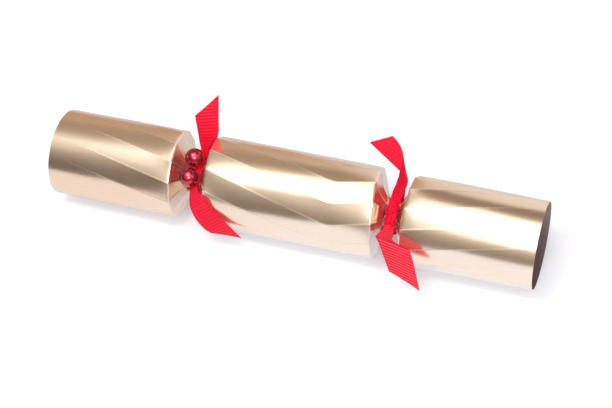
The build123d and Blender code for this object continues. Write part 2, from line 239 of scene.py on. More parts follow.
def berryMaterial():
    # clear red lacquer over silver, its red darkened towards the rim by the facing ramp: painted shade
    mat, tree, shader = startMaterial("berryLacquer")
    rimShade = addNode(tree, "ShaderNodeLayerWeight", None, {"Blend": 0.5}).outputs["Facing"]
    cloud = noiseNode(tree, objectPoint(tree), berryLook["cloud"], 3)
    # depth here is painted rim shade, with a little random unevenness in the red
    depth = mathNode(tree, "ADD", rimShade, product(tree, cloud, berryLook["unevenness"]))
    tree.links.new(rampNode(tree, depth, berryLook["tones"]), shader.inputs["Base Color"])
    setFinish(shader, metallic=0.85, roughness=0.24, coat=1.0, coatRoughness=0.12, coatIor=1.65)
    return mat


goldFoil = foilMaterial()
insideCard = liningMaterial()
cutEdge = paperMaterial("cutEdge", (0.90, 0.87, 0.84), (0.80, 0.76, 0.72), 1500)
redGrosgrain = ribbonMaterial()
berryLacquer = berryMaterial()
wrappedWire = paperMaterial("wrappedWire", (0.14, 0.2, 0.07), (0.08, 0.13, 0.05), 2600, 0.7)
snapCard = paperMaterial("snapCard", (0.60, 0.53, 0.43), (0.50, 0.43, 0.34), 900)
snapPatch = paperMaterial("snapPatch", (0.27, 0.25, 0.24), (0.16, 0.15, 0.15), 2400, 0.9, 0.00006)
sleevePaper = paperMaterial("sleevePaper", (0.84, 0.82, 0.77), (0.74, 0.71, 0.66), 1100)
hotGlue = paperMaterial("hotGlue", (0.80, 0.75, 0.60), (0.68, 0.62, 0.46), 260, 0.3)
tissue = paperMaterial("tissue", (0.72, 0.10, 0.13), (0.55, 0.06, 0.09), 1300, 0.8, 0.00008)
bandRubber = paperMaterial("bandRubber", (0.66, 0.56, 0.41), (0.56, 0.46, 0.33), 1500, 0.6)
mottoPaper = paperMaterial("mottoPaper", (0.88, 0.87, 0.84), (0.80, 0.79, 0.75), 1200)
toyPlastic = lacquerMaterial("toyPlastic", (0.10, 0.36, 0.15), (0.07, 0.28, 0.11), 0.25)
print("materials made")


# mesh helpers: everything below is worked out in mm about the cracker's own axis and scaled at the end
def gridFaces(rows, columns, start=0, closed=False):
    faces = []
    for r in range(rows - 1):
        for c in range(columns if closed else columns - 1):
            d = (c + 1) % columns
            faces.append((start + r * columns + c, start + r * columns + d,
                          start + (r + 1) * columns + d, start + (r + 1) * columns + c))
    return faces


def meshObject(name, points, faces, material=None):
    mesh = bpy.data.meshes.new(name)
    mesh.from_pydata((np.asarray(points, float) * mm).tolist(), [], faces)
    mesh.validate()
    if material:
        mesh.materials.append(material)
    obj = bpy.data.objects.new(name, mesh)
    bpy.context.scene.collection.objects.link(obj)
    return obj


def takeEvaluated(obj):
    # the object's mesh as its modifiers leave it, and then no modifiers
    bpy.context.view_layer.update()
    mesh = bpy.data.meshes.new_from_object(obj.evaluated_get(bpy.context.evaluated_depsgraph_get()))
    obj.modifiers.clear()
    old, obj.data = obj.data, mesh
    bpy.data.meshes.remove(old)
    mesh.name = obj.name
    return obj


def startTree(name, sockets):
    tree = bpy.data.node_groups.new(name, "GeometryNodeTree")
    tree.interface.new_socket(name="Geometry", in_out="OUTPUT", socket_type="NodeSocketGeometry")
    keys = {}
    for label, kind in [("Geometry", "Geometry")] + sockets:
        keys[label] = tree.interface.new_socket(name=label, in_out="INPUT", socket_type="NodeSocket" + kind).identifier
    return tree, tree.nodes.new("NodeGroupInput").outputs, tree.nodes.new("NodeGroupOutput").inputs, keys


def runTree(obj, tree, keys, values):
    modifier = obj.modifiers.new("nodes", "NODES")
    modifier.node_group = tree
    for label, value in values.items():
        modifier[keys[label]] = value
    return takeEvaluated(obj)


def named(tree, name, kind="FLOAT"):
    return addNode(tree, "GeometryNodeInputNamedAttribute", {"data_type": kind}, {"Name": name}).outputs[0]


def onAxis(x, out, angle, aside=0.0):
    # angle 0 is the front, 90 the top; out from the axis, aside along the turn
    a = math.radians(angle)
    return (x, -out * math.cos(a) + aside * math.sin(a), out * math.sin(a) + aside * math.cos(a))


# the foil card: one facet with its strips is drawn, and the tree repeats it round the axis
def foilTree():
    tree, given, out, keys = startTree("foilCard", [
        ("Strip Count", "Int"), ("Axis Height", "Float"), ("Table Height", "Float"), ("Strip Curl", "Float"),
        ("Strip Sway", "Float"), ("Proud Strip", "Int"), ("Proud Lift", "Float"), ("Tab Lift", "Float"),
        ("Seed", "Int"), ("Foil", "Material")])
    index = addNode(tree, "GeometryNodeInputIndex").outputs[0]
    position = addNode(tree, "GeometryNodeInputPosition").outputs[0]
    normal = addNode(tree, "GeometryNodeInputNormal").outputs[0]
    step = mathNode(tree, "DIVIDE", 2 * math.pi, given["Strip Count"])
    points = addNode(tree, "GeometryNodePoints", None, {"Count": given["Strip Count"]}).outputs[0]
    ring = addNode(tree, "GeometryNodeInstanceOnPoints", None, {
        "Points": points, "Instance": given["Geometry"],
        "Rotation": joinVector(tree, {0: product(tree, index, step)})}).outputs[0]
    ring = addNode(tree, "GeometryNodeStoreNamedAttribute", {"data_type": "INT", "domain": "INSTANCE"}, {
        "Geometry": ring, "Name": "strip", "Value": index}).outputs[0]
    ring = addNode(tree, "GeometryNodeRealizeInstances", None, {"Geometry": ring}).outputs[0]
    ring = addNode(tree, "GeometryNodeMergeByDistance", None, {"Geometry": ring, "Distance": 2e-6}).outputs[0]
    # each strip curls and sways a little by itself; free is 0 on the tube and 1 along the strip
    strip, free, proud = named(tree, "strip", "INT"), named(tree, "free"), named(tree, "proud")
    curl, sway = (addNode(tree, "FunctionNodeRandomValue", {"data_type": "FLOAT"}, {
        2: -1.0, 3: 1.0, "ID": strip, "Seed": seed}).outputs[1]
        for seed in (given["Seed"], mathNode(tree, "ADD", given["Seed"], 7)))
    chosen = addNode(tree, "FunctionNodeCompare", {"data_type": "INT", "operation": "EQUAL"}, {
        2: strip, 3: given["Proud Strip"]}).outputs[0]
    lift = mathNode(tree, "ADD", product(tree, curl, given["Strip Curl"], free),
                    product(tree, chosen, proud, given["Proud Lift"]))
    turned = addNode(tree, "ShaderNodeVectorRotate", {"rotation_type": "X_AXIS"}, {
        "Vector": position, "Angle": product(tree, sway, given["Strip Sway"], free)}).outputs[0]
    outward = vectorNode(tree, "NORMALIZE", vectorNode(tree, "MULTIPLY", position, (0, 1, 1)))
    offset = vectorNode(tree, "ADD", vectorNode(tree, "SCALE", normal, scale=lift), vectorNode(
        tree, "SCALE", outward, scale=product(tree, chosen, proud, given["Tab Lift"])))
    # the neck was tied a little askew: a slanted row leans along the axis, forwards at the front
    lean = product(tree, splitVector(tree, position)[1], -1.0, named(tree, "slant"))
    offset = vectorNode(tree, "ADD", offset, joinVector(tree, {0: lean}))
    ring = addNode(tree, "GeometryNodeSetPosition", None, {
        "Geometry": ring, "Position": turned, "Offset": offset}).outputs[0]
    ring = addNode(tree, "GeometryNodeTransform", None, {
        "Geometry": ring, "Translation": joinVector(tree, {2: given["Axis Height"]})}).outputs[0]
    # pressed flat where it lies on the lap seam
    x, y, z = splitVector(tree, position)
    flat = joinVector(tree, {0: x, 1: y, 2: mathNode(tree, "MAXIMUM", z, given["Table Height"])})
    ring = addNode(tree, "GeometryNodeSetPosition", None, {"Geometry": ring, "Position": flat}).outputs[0]
    ring = addNode(tree, "GeometryNodeRealizeInstances", None, {"Geometry": ring}).outputs[0]
    ring = addNode(tree, "GeometryNodeSetMaterial", None, {"Geometry": ring, "Material": given["Foil"]}).outputs[0]
    tree.links.new(ring, out["Geometry"])
    return tree, keys


cardTree, cardKeys = foilTree()
cardShape = {"card": 0.45, "columns": 12, "firstFacet": 90 - facetTurn / 2, "foldRadius": 0.6, "waistRadius": 9.0,
             "slit": 0.38, "bulge": 1.3, "ridge": 0.005, "slantFade": 16.0, "ridgeFade": 0.2, "scoreFade": 0.12,
             "rowStep": 1.5, "stripRows": 16, "tabShare": 0.15, "sharpFrom": 50,
             "score": ((0.9, 0.97, 1), (0, 0.3, 0.65)),
             "tab": ((0, 0.1, 0.2, 0.3, 0.4, 0.5, 0.7, 1), (0, 0.34, 0.75, 1, 1, 0.8, 0.35, 0))}


def facetShare(distance, near, quick, reach):
    # 1 at a crease, where the card is a flat-sided prism; part of it rounds off quickly and the ridges fade slowly
    return (1 - near) * math.exp(-distance / quick) + near * math.exp(-(distance / reach) ** 2)


def tubeRows(xs, radiusAt, twistAt, creases):
    rows = []
    for x in xs:
        share = max(facetShare(abs(x - place), *fade) for place, fade, slant in creases)
        slant = sum(slant * math.exp(-abs(x - place) / cardShape["slantFade"]) for place, fade, slant in creases)
        rows.append({"x": x, "out": radiusAt(x), "share": share, "twist": twistAt(x), "free": 0, "slit": 0,
                     "ridge": cardShape["ridge"] * min(1, share / cardShape["ridgeFade"]), "proud": 0, "slant": slant,
                     "scored": min(1, share / cardShape["scoreFade"])})
    return rows


def stripRows(crease, rim, waist, end, twist, slant, proud=0):
    # from the crease, over the fold, down the strip and along the waist to the tear line
    fold, low = cardShape["foldRadius"], cardShape["waistRadius"]
    length = math.hypot(waist - crease, rim - low)
    dx, dr = (waist - crease) / length, (low - rim) / length
    side = math.copysign(1, end - crease)
    line = []
    for t in (0.33, 0.66, 1.0):
        a, b, c = (1 - t) ** 2, 2 * t * (1 - t), t * t
        line.append((a * (crease - side * fold) + b * crease + c * (crease + fold * dx),
                     (a + b) * rim + c * (rim + fold * dr), 0.02 * t))
    for k in range(1, cardShape["stripRows"] + 1):
        t = k / cardShape["stripRows"]
        along = fold + t * (length - 2 * fold)
        bulge = cardShape["bulge"] * math.sin(math.pi * t)
        line.append((crease + along * dx - side * bulge, rim + along * dr, t))
    for t in (0.5, 1.0):
        a, b, c = (1 - t) ** 2, 2 * t * (1 - t), t * t
        line.append((a * (waist - fold * dx) + b * waist + c * (waist + side * fold),
                     a * (low - fold * dr) + (b + c) * low, 1.0))
    line.append(((waist + end) / 2, low, 1.0))
    line.append((end, low, 1.0))
    rows = []
    for x, out, t in line:
        free = math.sin(math.pi * t ** 0.75) ** 1.2 if t < 1 else 0
        slit = cardShape["slit"] * min(1, t * 8) * (0.45 + 0.55 * math.sin(math.pi * t))
        rows.append({"x": x, "out": out, "share": 1, "twist": twist, "free": free, "slit": slit, "ridge": 0,
                     "proud": proud * np.interp(t, *cardShape["tab"]), "slant": slant * (1 - t), "scored": 0})
    return rows


def foilCard(name, rows, seed, curl, sway, table, proud=(-1, 0.0)):
    half = math.pi / stripCount
    count = cardShape["columns"]
    us = [math.sin(math.pi / 2 * (2 * j / count - 1)) for j in range(count + 1)]
    points, free, lifted, slants, scored = [], [], [], [], []
    for row in rows:
        r, w = row["out"], row["share"]
        for u in us:
            out = w * r * math.cos(half) + (1 - w) * r * math.cos(u * half)
            aside = w * (r * math.sin(half) - row["slit"]) * u + (1 - w) * r * math.sin(u * half)
            if abs(u) > 0.999:
                out += row["ridge"]
            points.append(onAxis(row["x"], out, cardShape["firstFacet"] + row["twist"], aside))
            free.append(row["free"])
            lifted.append(row["proud"])
            slants.append(row["slant"])
            scored.append(row["scored"] * np.interp(abs(u), *cardShape["score"]))
    obj = meshObject(name, points, gridFaces(len(rows), count + 1), goldFoil)
    mesh = obj.data
    middle = mesh.polygons[len(mesh.polygons) // 2]
    if middle.normal.dot(middle.center) < 0:
        mesh.flip_normals()
    for label, values in (("free", free), ("proud", lifted), ("slant", slants), ("scored", scored)):
        mesh.attributes.new(label, "FLOAT", "POINT").data.foreach_set("value", values)
    runTree(obj, cardTree, cardKeys, {
        "Strip Count": stripCount, "Axis Height": axisHeight * mm, "Table Height": table * mm,
        "Strip Curl": curl * mm, "Strip Sway": math.radians(sway), "Proud Strip": proud[0],
        "Proud Lift": proud[1] * mm, "Tab Lift": proud[1] * cardShape["tabShare"] * mm, "Seed": seed,
        "Foil": goldFoil})
    for extra in (insideCard, cutEdge):
        obj.data.materials.append(extra)
    wall = obj.modifiers.new("wall", "SOLIDIFY")
    wall.thickness, wall.offset = cardShape["card"] * mm, -1
    wall.material_offset, wall.material_offset_rim = 1, 2
    takeEvaluated(obj)
    obj.data.shade_smooth()
    obj.data.set_sharp_from_angle(angle=math.radians(cardShape["sharpFrom"]))
    return obj


def spread(start, stop, step):
    count = max(2, round(abs(stop - start) / step))
    return [start + (stop - start) * k / count for k in range(count + 1)]


barrelShape = {"leftCrease": -52.2, "rightCrease": 52.8, "waist": 59.0, "tear": 62.4, "bend": 28.0,
               "twist": 0.5, "leftSlant": 0.085, "rightSlant": 0.09, "leftFacets": (0.13, 9, 60),
               "rightFacets": (0.55, 3, 34)}
endShape = {"radius": 27.5, "mouth": 26.7, "waist": 66.0, "tear": 62.6, "length": 152.5, "shoulderLength": 9.0,
            "left": {"crease": 74.0, "twist": -0.45, "slant": 0.06, "shoulder": 0.1, "facets": (0.35, 8, 40)},
            "right": {"crease": 72.5, "twist": 0.48, "slant": 0.0, "shoulder": 0.35, "facets": (0.17, 9, 55)}}


def barrelTwist(x):
    # the ridges wind one way from the left crease and back again before the right one, one facet in all
    b = barrelShape
    back = (facetTurn - b["twist"] * (b["bend"] - b["leftCrease"])) / (b["rightCrease"] - b["bend"])
    soft = 1.2
    over = soft * math.log1p(math.exp((x - b["bend"]) / soft))
    return -b["twist"] * (x - b["leftCrease"]) + (b["twist"] - back) * over


def barrelRows():
    b = barrelShape
    left, right = b["leftCrease"], b["rightCrease"]
    fold = cardShape["foldRadius"]
    leftStrips = stripRows(left, barrelRadius, -b["waist"], -b["tear"], 0, b["leftSlant"])
    rightStrips = stripRows(right, barrelRadius, b["waist"], b["tear"], -facetTurn, b["rightSlant"], 1)
    tube = tubeRows(spread(left + fold, right - fold, cardShape["rowStep"]), lambda x: barrelRadius,
                    lambda x: barrelTwist(x) * (-facetTurn / barrelTwist(right)),
                    ((left, b["leftFacets"], b["leftSlant"]), (right, b["rightFacets"], b["rightSlant"])))
    return leftStrips[::-1] + tube + rightStrips


def endRows(hand):
    e, own = endShape, endShape[hand]
    side = -1 if hand == "left" else 1
    crease, drop = own["crease"], own["shoulder"]

    def taper(x):
        # a little narrower at the mouth, and rounded in at the crease
        run = abs(x) - crease
        edge = max(0, 1 - run / e["shoulderLength"])
        return e["radius"] + (e["mouth"] - e["radius"]) * run / (e["length"] - crease) - drop * edge ** 2

    tube = tubeRows(spread(side * e["length"], side * (crease + cardShape["foldRadius"]), cardShape["rowStep"]), taper,
                    lambda x: own["twist"] * (x - side * crease), ((side * crease, own["facets"], own["slant"]),))
    return tube + stripRows(side * crease, e["radius"] - drop, side * e["waist"], side * e["tear"], 0, own["slant"])


endTable = 0.486  # the ends are narrower, so their lap seams stop short of the table
barrelCard = foilCard("barrelCard", barrelRows(), seed=3, curl=0.45, sway=1.3, table=0.0, proud=(0, 2.6))
leftEndCard = foilCard("leftEndCard", endRows("left"), seed=11, curl=0.35, sway=0.8, table=endTable)
rightEndCard = foilCard("rightEndCard", endRows("right"), seed=23, curl=0.35, sway=0.8, table=endTable)
for card, body, node in ((barrelCard, "barrel", "barrel_card"), (leftEndCard, "left_end", "left_end_card"),
                         (rightEndCard, "right_end", "right_end_card")):
    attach(card, body)
    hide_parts(node)
print("foil cards made")


# ribbons: each tail is drawn between its two woven edges, and the tree raises the ribs
def ribTree():
    tree, given, out, keys = startTree("grosgrainRibs", [
        ("Rib Pitch", "Float"), ("Rib Height", "Float"), ("Ribbon", "Material")])
    ribs = mathNode(tree, "DIVIDE", named(tree, "along"), given["Rib Pitch"])
    wave = mathNode(tree, "ABSOLUTE", mathNode(tree, "SINE", product(tree, ribs, math.pi)))
    rise = product(tree, mathNode(tree, "POWER", wave, 0.7), named(tree, "ribbed"), given["Rib Height"])
    offset = vectorNode(tree, "SCALE", addNode(tree, "GeometryNodeInputNormal").outputs[0], scale=rise)
    cloth = addNode(tree, "GeometryNodeSetPosition", None, {
        "Geometry": given["Geometry"], "Offset": offset}).outputs[0]
    cloth = addNode(tree, "GeometryNodeRealizeInstances", None, {"Geometry": cloth}).outputs[0]
    cloth = addNode(tree, "GeometryNodeSetMaterial", None, {
        "Geometry": cloth, "Material": given["Ribbon"]}).outputs[0]
    tree.links.new(cloth, out["Geometry"])
    return tree, keys


clothTree, clothKeys = ribTree()
ribbonShape = {"width": 15.0, "length": 150.0, "thickness": 0.4, "ribHeight": 0.14, "rowStep": 0.27, "columns": 21,
               "still": 0.4}


def smoothLine(stations, samples, knots=None):
    # a smooth line through the stations, spaced by the distance between them
    p = np.asarray(stations, float)
    t = knots if knots is not None else spacing(p)
    slope = np.gradient(p, t, axis=0)
    at = np.linspace(0, t[-1], samples)
    k = np.clip(np.searchsorted(t, at, "right") - 1, 0, len(t) - 2)
    h = (t[k + 1] - t[k])[:, None]
    s = ((at - t[k]) / h[:, 0])[:, None]
    return ((2 * s ** 3 - 3 * s ** 2 + 1) * p[k] + (s ** 3 - 2 * s ** 2 + s) * h * slope[k]
            + (3 * s ** 2 - 2 * s ** 3) * p[k + 1] + (s ** 3 - s ** 2) * h * slope[k + 1])


def spacing(p):
    return np.concatenate([[0], np.cumsum(np.sqrt(np.linalg.norm(np.diff(p, axis=0), axis=1)))])


def lengths(line):
    return np.concatenate([[0], np.cumsum(np.linalg.norm(np.diff(line, axis=0), axis=1))])


def evenLine(stations, samples):
    line = smoothLine(stations, 400)
    run = lengths(line)
    at = np.linspace(0, run[-1], samples)
    return np.stack([np.interp(at, run, line[:, k]) for k in range(3)], axis=1)


def tailPatch(neck, tail):
    # both woven edges pass through their stations; a sharp fold parts one stretch from the next
    edgeA, edgeB, runA, runB = [], [], [0.0], [0.0]
    for number, stretch in enumerate(tail["stretches"]):
        a = np.array([onAxis(neck + x, out, angle) for (x, out, angle), other in stretch])
        b = np.array([onAxis(neck + x, out, angle) for other, (x, out, angle) in stretch])
        knots = spacing(np.hstack([a, b]))
        size = max(lengths(smoothLine(a, 200, knots))[-1], lengths(smoothLine(b, 200, knots))[-1])
        rows = int(size / ribbonShape["rowStep"]) + 2
        a, b = smoothLine(a, rows, knots), smoothLine(b, rows, knots)
        last = number == len(tail["stretches"]) - 1
        for r in range(rows):
            if r or not number:
                edgeA.append(a[r])
                edgeB.append(b[r])
            if r:
                stepA, stepB = np.linalg.norm(a[r] - a[r - 1]), np.linalg.norm(b[r] - b[r - 1])
                # ribs lie along the rows, until the slant cut takes them one by one
                if not (last and r / (rows - 1) * knots[-1] > knots[-2]):
                    stepA = stepB = (stepA + stepB) / 2
                runA.append(runA[-1] + stepA)
                runB.append(runB[-1] + stepB)
    us = np.linspace(0, 1, ribbonShape["columns"])
    points, along, across, ribbed = [], [], [], []
    count = len(edgeA)
    for r in range(count):
        after, before = min(r + 1, count - 1), max(r - 1, 0)
        ahead = (edgeA[after] + edgeB[after]) - (edgeA[before] + edgeB[before])
        wide = edgeB[r] - edgeA[r]
        normal = np.cross(wide, ahead)
        normal /= max(np.linalg.norm(normal), 1e-9)
        gather = max(0, 1 - (runA[r] + runB[r]) / 2 / tail["gathered"]) ** 1.5
        for u in us:
            pleat = tail["pleat"] * gather * math.sin(2 * math.pi * tail["pleats"] * u + 0.6)
            rise = tail["bow"] * 4 * u * (1 - u) + pleat
            inset = min(1, min(u, 1 - u) * ribbonShape["width"] / ribbonLook["selvedge"])
            points.append(edgeA[r] + u * wide + normal * rise)
            along.append((1 - u) * runA[r] + u * runB[r])
            across.append(u * ribbonShape["width"])
            ribbed.append(np.interp(r / count, (0, 1), tail["ribs"]) * inset)
    return {"points": points, "faces": gridFaces(count, len(us)), "along": along, "across": across, "ribbed": ribbed}


def plainPatch(points, faces, columns):
    # drawn too tight for its ribs to show
    count = len(points)
    return {"points": points, "faces": faces, "along": [ribbonShape["still"]] * count, "ribbed": [0.0] * count,
            "across": [ribbonShape["width"] * (k % columns) / columns for k in range(count)]}


def bundlePatch(path, wide, high, folds, turns):
    # the gathered ribbon between its tails: a flattened, twisted bundle of folds
    rows, columns = 60, 84
    line = evenLine(path, rows)
    points = []
    for r in range(rows):
        t = r / (rows - 1)
        ahead = line[min(r + 1, rows - 1)] - line[max(r - 1, 0)]
        ahead /= np.linalg.norm(ahead)
        outward = line[r] * np.array([0, 1, 1])
        outward -= ahead * np.dot(outward, ahead)
        outward /= np.linalg.norm(outward)
        aside = np.cross(ahead, outward)
        swell = 0.92 + 0.08 * math.cos(4 * math.pi * t)
        for c in range(columns):
            a = 2 * math.pi * c / columns
            crest = abs(math.sin(0.5 * (folds * a + turns * 2 * math.pi * t)))
            ripple = 0.72 + 0.38 * crest ** 0.7
            points.append(line[r] + aside * wide * swell * ripple * math.cos(a) + outward * high * ripple * math.sin(a))
    return plainPatch(points, gridFaces(rows, columns, closed=True), columns)


def wrapPatch(x, out, angle, wide, high, band, lean):
    # the turn that is drawn tight round the bundle
    rows, columns = 72, 13
    centre = np.array(onAxis(x, out, angle))
    outward, along = np.array(onAxis(0, 1, angle)), np.array(onAxis(0, 0, angle, 1))
    points = []
    for r in range(rows + 1):
        a = 2 * math.pi * r / rows
        squeeze = 0.75 + 0.25 * math.sin(a)
        for c in range(columns):
            v = 2 * c / (columns - 1) - 1
            pleat = 1 + 0.11 * math.cos(3 * math.pi * v + math.sin(a)) - 0.12 * v * v
            points.append(centre + np.array([wide * pleat * math.cos(a), 0, 0]) + outward * high * pleat * math.sin(a)
                          + along * (v * band * squeeze + lean * math.cos(a)))
    return plainPatch(points, gridFaces(rows + 1, columns), columns)


loopShape = {"radius": 9.45, "width": 6.0, "pleats": 4, "pleatHeight": 0.7, "crown": 1.6, "waver": 0.12}


def loopPatch(x, where, height, reach):
    # the band round the waist, in lengthwise pleats, with a slack fold behind the upper tail
    rows, columns = 160, 17
    points = []
    for r in range(rows + 1):
        angle = 360 * r / rows
        for c in range(columns):
            u = c / (columns - 1)
            waver = loopShape["waver"] * math.sin(math.radians(3 * angle))
            pleat = abs((u * loopShape["pleats"] + waver) % 2 - 1)
            crown = 1 - (2 * u - 1) ** 4
            fold = height * math.exp(-((angle - where) / reach) ** 2)
            out = loopShape["radius"] + loopShape["pleatHeight"] * pleat + loopShape["crown"] * crown
            points.append(onAxis(x + (u - 0.5) * loopShape["width"], out + fold * (0.8 + 0.2 * crown), angle))
    return plainPatch(points, gridFaces(rows + 1, columns), columns)


def joinPatches(name, patches):
    points, faces = [], []
    for patch in patches:
        start = len(points)
        points += [tuple(p) for p in patch["points"]]
        faces += [tuple(start + k for k in face) for face in patch["faces"]]
    merged = {key: np.concatenate([patch[key] for patch in patches]) for key in ("along", "across", "ribbed")}
    points = [(x, y, z + axisHeight) for x, y, z in points]
    obj = meshObject(name, points, faces, redGrosgrain)
    mesh = obj.data
    for key in ("along", "ribbed"):
        mesh.attributes.new(key, "FLOAT", "POINT").data.foreach_set("value", merged[key])
    corner = np.empty(len(mesh.loops), dtype=np.int32)
    mesh.loops.foreach_get("vertex_index", corner)
    flatMap = np.stack([merged["across"][corner], merged["along"][corner]], axis=1)
    mesh.uv_layers.new(name="UVMap").data.foreach_set("uv", flatMap.ravel())
    return obj


def finishRibbon(obj, node):
    runTree(obj, clothTree, clothKeys, {
        "Rib Pitch": ribbonLook["ribPitch"], "Rib Height": ribbonShape["ribHeight"] * mm, "Ribbon": redGrosgrain})
    cloth = obj.modifiers.new("cloth", "SOLIDIFY")
    cloth.thickness, cloth.offset = ribbonShape["thickness"] * mm, 0
    takeEvaluated(obj)
    obj.data.shade_smooth()
    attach(obj, "barrel")
    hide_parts(node)


leftNeck, rightNeck = -62.5, 62.5
# a station: along the axis from the neck, out from the axis, and the angle, on one woven edge and on the other
# ribs sets how far each tail's ribs are raised and how strong their painted highlight and shade are, strongest on the
# right lower tail where the light catches them
tailShape = {
    "leftUpper": {"ribs": (0.0, 0.35), "bow": 0.8, "pleat": 1.3, "pleats": 2, "gathered": 16, "stretches": [
        [((1.8, 14.1, 116), (4.4, 13.6, 122)), ((0.6, 18.5, 116), (6.4, 19.9, 121)),
         ((-0.8, 23.0, 115), (8.8, 25.0, 120)), ((-1.9, 29.8, 113), (10.4, 32.2, 118)),
         ((-3.0, 35.9, 112), (10.1, 38.5, 117)),
         ((-4.0, 41.5, 111.5), (9.6, 56.6, 115))]]},
    "leftLower": {"ribs": (0.2, 0.28), "bow": 0.4, "pleat": 0.9, "pleats": 1.5, "gathered": 14, "stretches": [
        [((-0.9, 12.5, 30), (3.8, 13.5, 43)), ((2.1, 22.0, 16), (7.9, 24.0, 33)), ((5.2, 28.5, 8), (14.7, 29.5, 25)),
         ((8.9, 30.9, -4.5), (19.8, 29.2, 12.5)), ((13.8, 32.8, -15.7), (26.2, 30.1, 2.4)),
         ((18.0, 33.4, -22.7), (37.4, 33.2, -19.2))]]},
    "rightUpper": {"ribs": (0.05, 0.15), "bow": 0.3, "pleat": 0.7, "pleats": 1.5, "gathered": 26, "stretches": [
        [((0.2, 10.9, 96), (4.1, 14.3, 86)), ((-0.6, 14.4, 110.6), (6.2, 21.6, 95)),
         ((-0.1, 21.3, 108.4), (7.8, 28.3, 99)), ((1.6, 29.1, 102.8), (6.4, 34.6, 101)),
         ((3.5, 36.8, 96), (3.1, 47.9, 103))],
        [((3.5, 36.8, 96), (3.1, 47.9, 103)), ((-1.9, 40.4, 98), (1.5, 50.2, 104.5)),
         ((-8.0, 43.6, 101), (-0.9, 52.3, 106)), ((-17.2, 49.1, 104), (-4.2, 54.3, 107.5))]]},
    "rightLower": {"ribs": (0.8, 1.0), "bow": 0.3, "pleat": 0.9, "pleats": 1.5, "gathered": 12, "stretches": [
        [((-1.0, 14.0, 33), (3.7, 14.0, 32)), ((-1.4, 22.0, 27), (5.5, 22.0, 20)),
         ((-2.5, 30.5, 25.5), (8.7, 32.0, 23)), ((-2.5, 32.8, 26), (18.6, 33.1, 18.3))],
        [((-2.5, 32.8, 26), (18.6, 33.1, 18.3)), ((1.0, 33.2, 14.8), (21.7, 37.1, 11.8)),
         ((7.3, 37.1, -10.6), (27.0, 43.3, -16.7))]]}}
leftUpper, leftLower = (tailPatch(leftNeck, tailShape[key]) for key in ("leftUpper", "leftLower"))
rightUpper, rightLower = (tailPatch(rightNeck, tailShape[key]) for key in ("rightUpper", "rightLower"))
leftKnot = bundlePatch([onAxis(leftNeck + x, out, a) for x, out, a in (
    (2.4, 12.4, 124), (2.8, 12.9, 95), (2.9, 13.0, 70), (2.5, 12.8, 50), (1.2, 12.3, 28))],
    wide=2.1, high=1.5, folds=5, turns=0.6)
rightKnot = bundlePatch([onAxis(rightNeck + x, out, a) for x, out, a in (
    (1.0, 14.0, 92), (1.1, 14.2, 73), (1.4, 14.2, 54), (1.2, 14.0, 36), (0.6, 13.8, 20))],
    wide=3.1, high=2.6, folds=5, turns=0.8)
rightWrap = wrapPatch(rightNeck + 1.2, out=14.1, angle=64, wide=3.7, high=3.3, band=2.7, lean=1.8)
leftLoop = loopPatch(leftNeck, where=140, height=7.0, reach=16)
rightLoop = loopPatch(rightNeck, where=146, height=9.5, reach=20)
leftRibbon = joinPatches("leftRibbon", [leftUpper, leftLower, leftKnot, leftLoop])
rightRibbon = joinPatches("rightRibbon", [rightUpper, rightLower, rightKnot, rightWrap, rightLoop])
finishRibbon(leftRibbon, "left_ribbon")
finishRibbon(rightRibbon, "right_ribbon")
print("ribbons made")


# berries: a turned profile with a small dimple at the wire and a faint one opposite
berryShape = {"radius": 5.75, "out": 20.45, "angles": {"berry_upper": 84.0, "berry_lower": 47.0},
              "dimple": (0.5, 0.16), "faint": (0.16, 0.12), "around": 64, "rings": 40}


def berryObject(name, angle):
    around, rings, radius = berryShape["around"], berryShape["rings"], berryShape["radius"]
    (dimple, dimpleReach), (faint, faintReach) = berryShape["dimple"], berryShape["faint"]
    points = []
    for k in range(1, rings):
        a = math.pi * k / rings
        dip = dimple * math.exp(-(a / dimpleReach) ** 2) + faint * math.exp(-((math.pi - a) / faintReach) ** 2)
        r = radius - dip
        for c in range(around):
            b = 2 * math.pi * c / around
            points.append((r * math.sin(a) * math.cos(b), r * math.sin(a) * math.sin(b), -r * math.cos(a)))
    faces = gridFaces(rings - 1, around, closed=True)
    low, high = len(points), len(points) + 1
    points += [(0, 0, -(radius - dimple)), (0, 0, radius - faint)]
    last = (rings - 2) * around
    for c in range(around):
        d = (c + 1) % around
        faces.append((low, d, c))
        faces.append((high, last + c, last + d))
    obj = meshObject(name, points, faces, berryLacquer)
    # the wire's end of the profile turns in to the axis
    z = np.array(onAxis(0, 1, angle))
    x = np.array([1.0, 0, 0])
    y = np.cross(z, x)
    place = np.array(onAxis(leftNeck, berryShape["out"], angle)) + np.array([0, 0, axisHeight])
    turn = Matrix.Identity(4)
    for k in range(3):
        turn[k][0], turn[k][1], turn[k][2], turn[k][3] = x[k], y[k], z[k], place[k] * mm
    obj.data.transform(turn)
    obj.data.shade_smooth()
    return obj


for node, label in (("berry_upper", "berryUpper"), ("berry_lower", "berryLower")):
    berry = berryObject(label, berryShape["angles"][node])
    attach(berry, "barrel")
    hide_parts(node)
print("berries made")


# the paper hat: thin tissue, folded to a strip, rolled up and held by its band
hatShape = {"length": 54.0, "inner": 2.5, "outer": 6.32, "turns": 6.5, "tissue": 0.18, "axis": 8.3, "wrinkle": 0.09,
            "waist": 0.22, "frill": 1.2}


